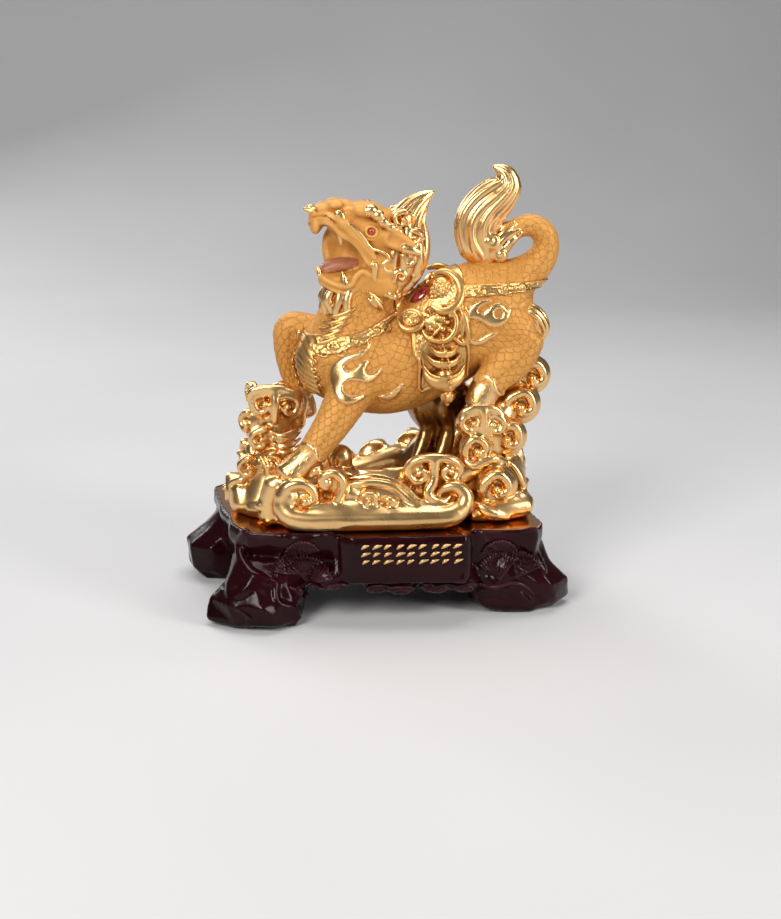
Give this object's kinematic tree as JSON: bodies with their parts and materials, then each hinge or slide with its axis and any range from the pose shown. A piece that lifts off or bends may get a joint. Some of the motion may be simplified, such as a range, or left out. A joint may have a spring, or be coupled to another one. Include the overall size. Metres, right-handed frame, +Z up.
{
  "type": "qilin figurine",
  "caption": "Gilt scaled beast with open jaws and raised foreleg, saddled and hung with ingots, on curled clouds over a dark rock plinth with a gilt plate and front panel.",
  "frame": {"origin": "middle of the bounding box, on the ground under the plinth's feet", "axes": "+X towards the tail, the animal looks along -X, the lettered front panel faces -Y, +Z up"},
  "size_m": [0.268, 0.164, 0.2998],
  "materials": {
    "dark_lacquer": "dark red-brown lacquer, satin gloss",
    "mirror_gold": "polished gilt",
    "matt_gold": "fine matt gilt with polished hair, clouds and trim",
    "red_stone": "polished dark red stone"
  },
  "bodies": {
    "root": {"plinth": "dark_lacquer", "top_plate": "mirror_gold", "qilin_figure": "matt_gold", "saddle_gem": "red_stone", "eye_stone_near": "red_stone", "eye_stone_far": "red_stone"}
  },
  "joints": []
}
